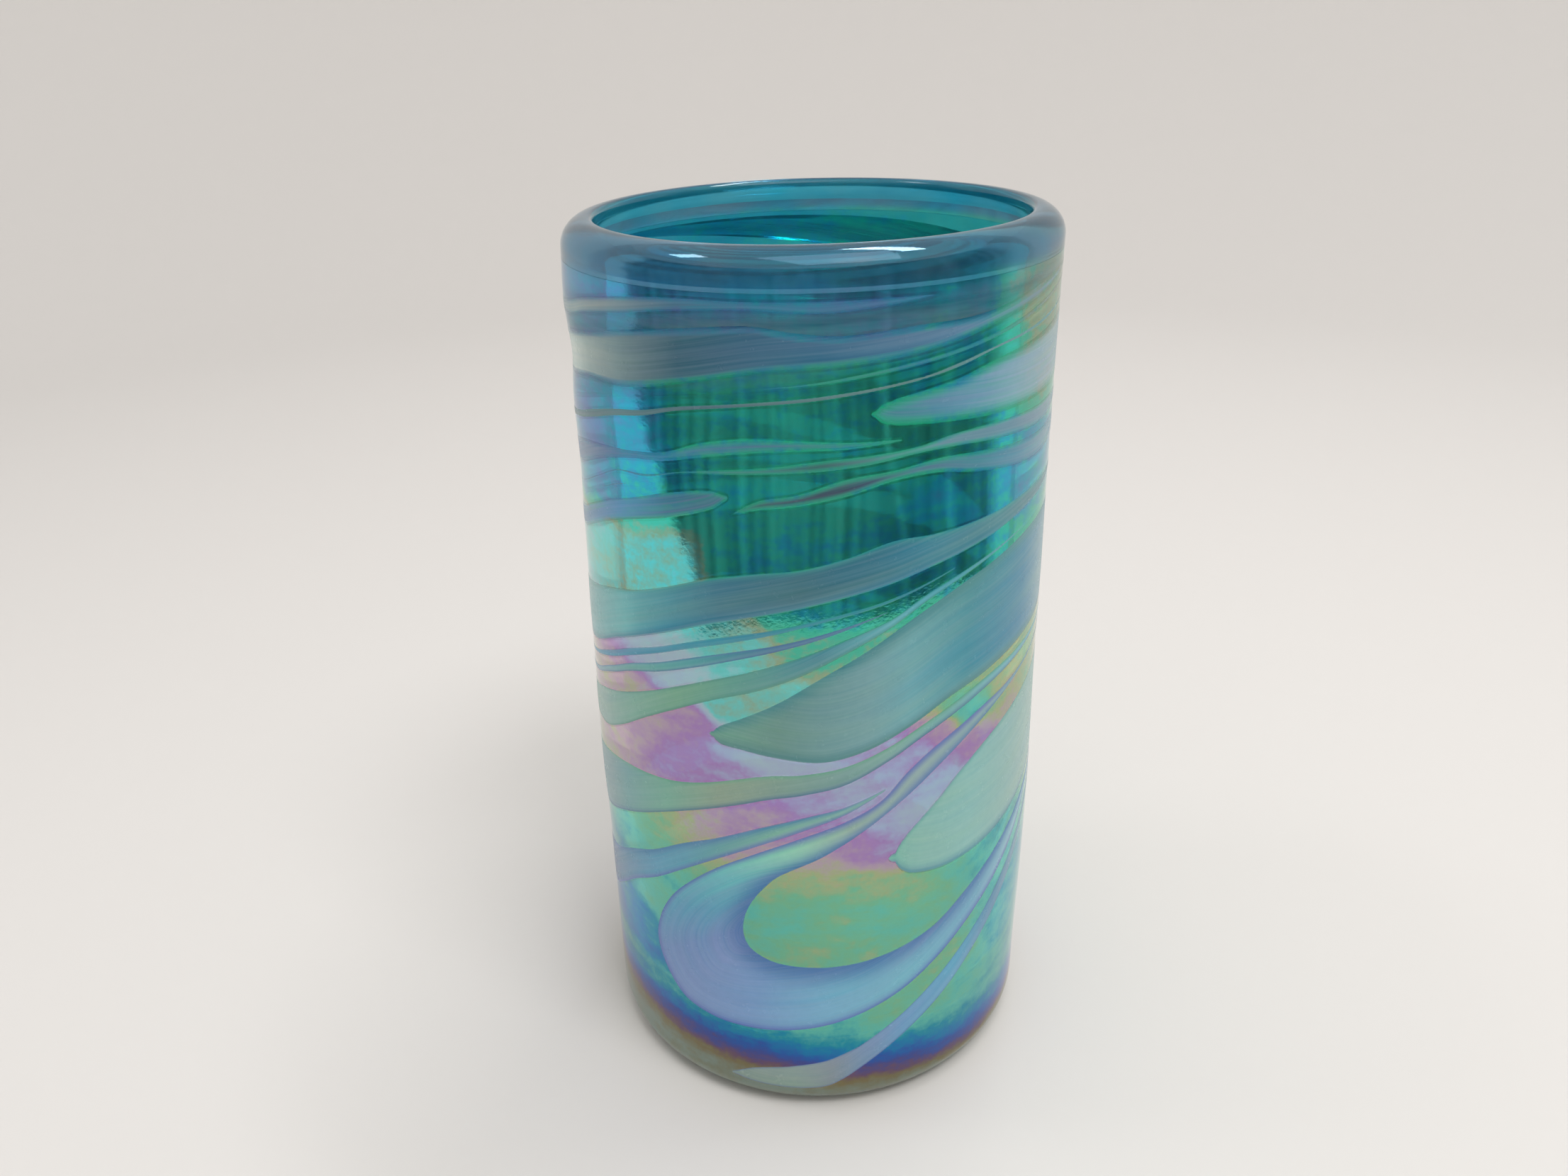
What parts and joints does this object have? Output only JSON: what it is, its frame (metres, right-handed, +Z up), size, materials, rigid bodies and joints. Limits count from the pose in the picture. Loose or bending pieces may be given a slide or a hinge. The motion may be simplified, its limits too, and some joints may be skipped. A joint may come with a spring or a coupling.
{
  "type": "blown glass vase",
  "caption": "Straight tumbler-shaped hand blown vase in teal glass, thick floor and rounded lip, wound with combed opal trails under an iridescent skin.",
  "frame": {"origin": "centre of the circle the vase stands on", "axes": "+Z up along the vase's axis, -Y towards the side with the great loop at its foot, +X to that side's right"},
  "size_m": [0.0794, 0.0794, 0.15],
  "materials": {
    "teal_glass": "clear teal, iridescent fumed outside",
    "base_glass": "clear deep teal",
    "ground_glass": "ground and half polished",
    "lip_glass": "fire polished, silvery lustre",
    "opal_lavender": "opal, fumed, blue edged",
    "opal_sea": "opal, fumed, sea green",
    "opal_slate": "opal, fumed, slate blue",
    "opal_teal": "opal, fumed, teal"
  },
  "bodies": {
    "root": {"core_gather": "teal_glass", "base_gather": "base_glass", "punty_scar": "ground_glass", "lip_bead": "lip_glass", "opal_trail_great_loop": "opal_lavender", "opal_trail_low_sweep": "opal_lavender", "opal_trail_mid_sweep": "opal_sea", "opal_trail_back_tongue": "opal_sea", "opal_trail_heel_thread": "opal_lavender", "opal_trail_fine_thread": "opal_teal", "opal_trail_sea_tongue": "opal_sea", "opal_trail_great_tongue": "opal_sea", "opal_trail_slate_tongue": "opal_slate", "opal_trail_lower_comb": "opal_slate", "opal_trail_violet_sweep": "opal_lavender", "opal_trail_upper_comb": "opal_slate", "opal_trail_short_thread": "opal_lavender", "opal_trail_pale_tongue": "opal_lavender", "opal_trail_high_sweep": "opal_slate"}
  },
  "joints": []
}
